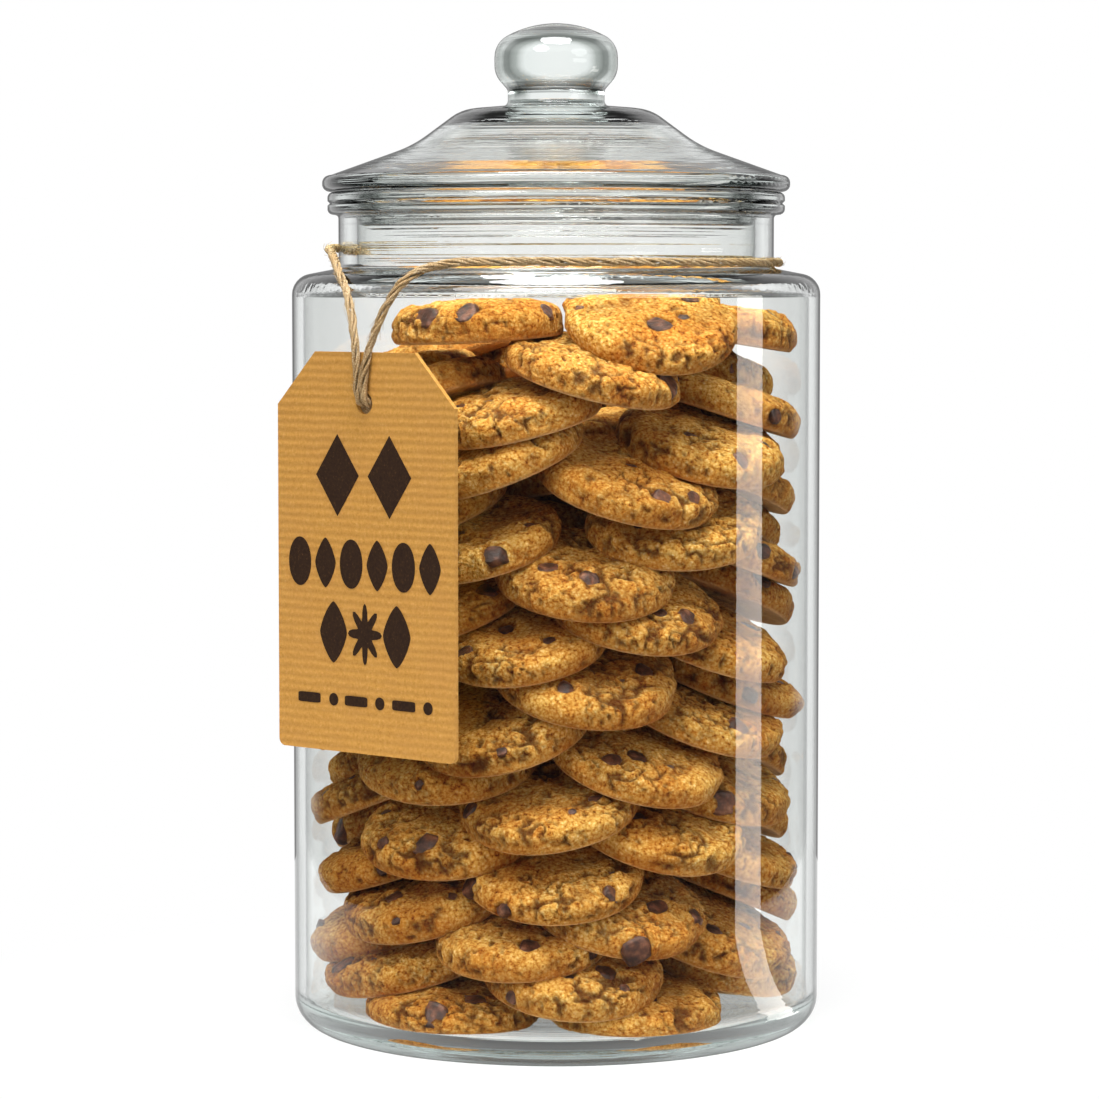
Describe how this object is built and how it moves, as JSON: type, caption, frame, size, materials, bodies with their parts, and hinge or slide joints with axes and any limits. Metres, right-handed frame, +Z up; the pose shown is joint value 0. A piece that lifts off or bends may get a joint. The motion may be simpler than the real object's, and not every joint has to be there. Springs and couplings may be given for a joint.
{
  "type": "cookie jar",
  "caption": "Round clear glass jar with a knobbed glass lid resting in its mouth, filled with chocolate chip cookies, with a card tag hung on twine round the neck.",
  "frame": {"origin": "middle of the jar's flat underside, on its axis", "axes": "+Z up along the jar's axis, the front is -Y, +X to the right seen from the front; the tag hangs at the front left"},
  "size_m": [0.1769, 0.1855, 0.3327],
  "materials": {
    "clear_glass": "gloss",
    "cookie": "matte",
    "kraft_card": "matte",
    "jute": "matte"
  },
  "bodies": {
    "root": {"jar_glass": "clear_glass", "lid_glass": "clear_glass", "cookies_course_01": "cookie", "cookies_course_02": "cookie", "cookies_course_03": "cookie", "cookies_course_04": "cookie", "cookies_course_05": "cookie", "cookies_course_06": "cookie", "cookies_course_07": "cookie", "cookies_course_08": "cookie", "cookies_course_09": "cookie", "cookies_course_10": "cookie", "cookies_course_11": "cookie", "cookies_course_12": "cookie", "cookies_course_13": "cookie", "cookies_course_14": "cookie", "cookies_course_15": "cookie", "cookies_course_16": "cookie", "cookies_course_17": "cookie", "cookies_course_18": "cookie", "cookies_course_19": "cookie", "tag_card": "kraft_card", "twine": "jute", "twine_knot": "jute"}
  },
  "joints": []
}
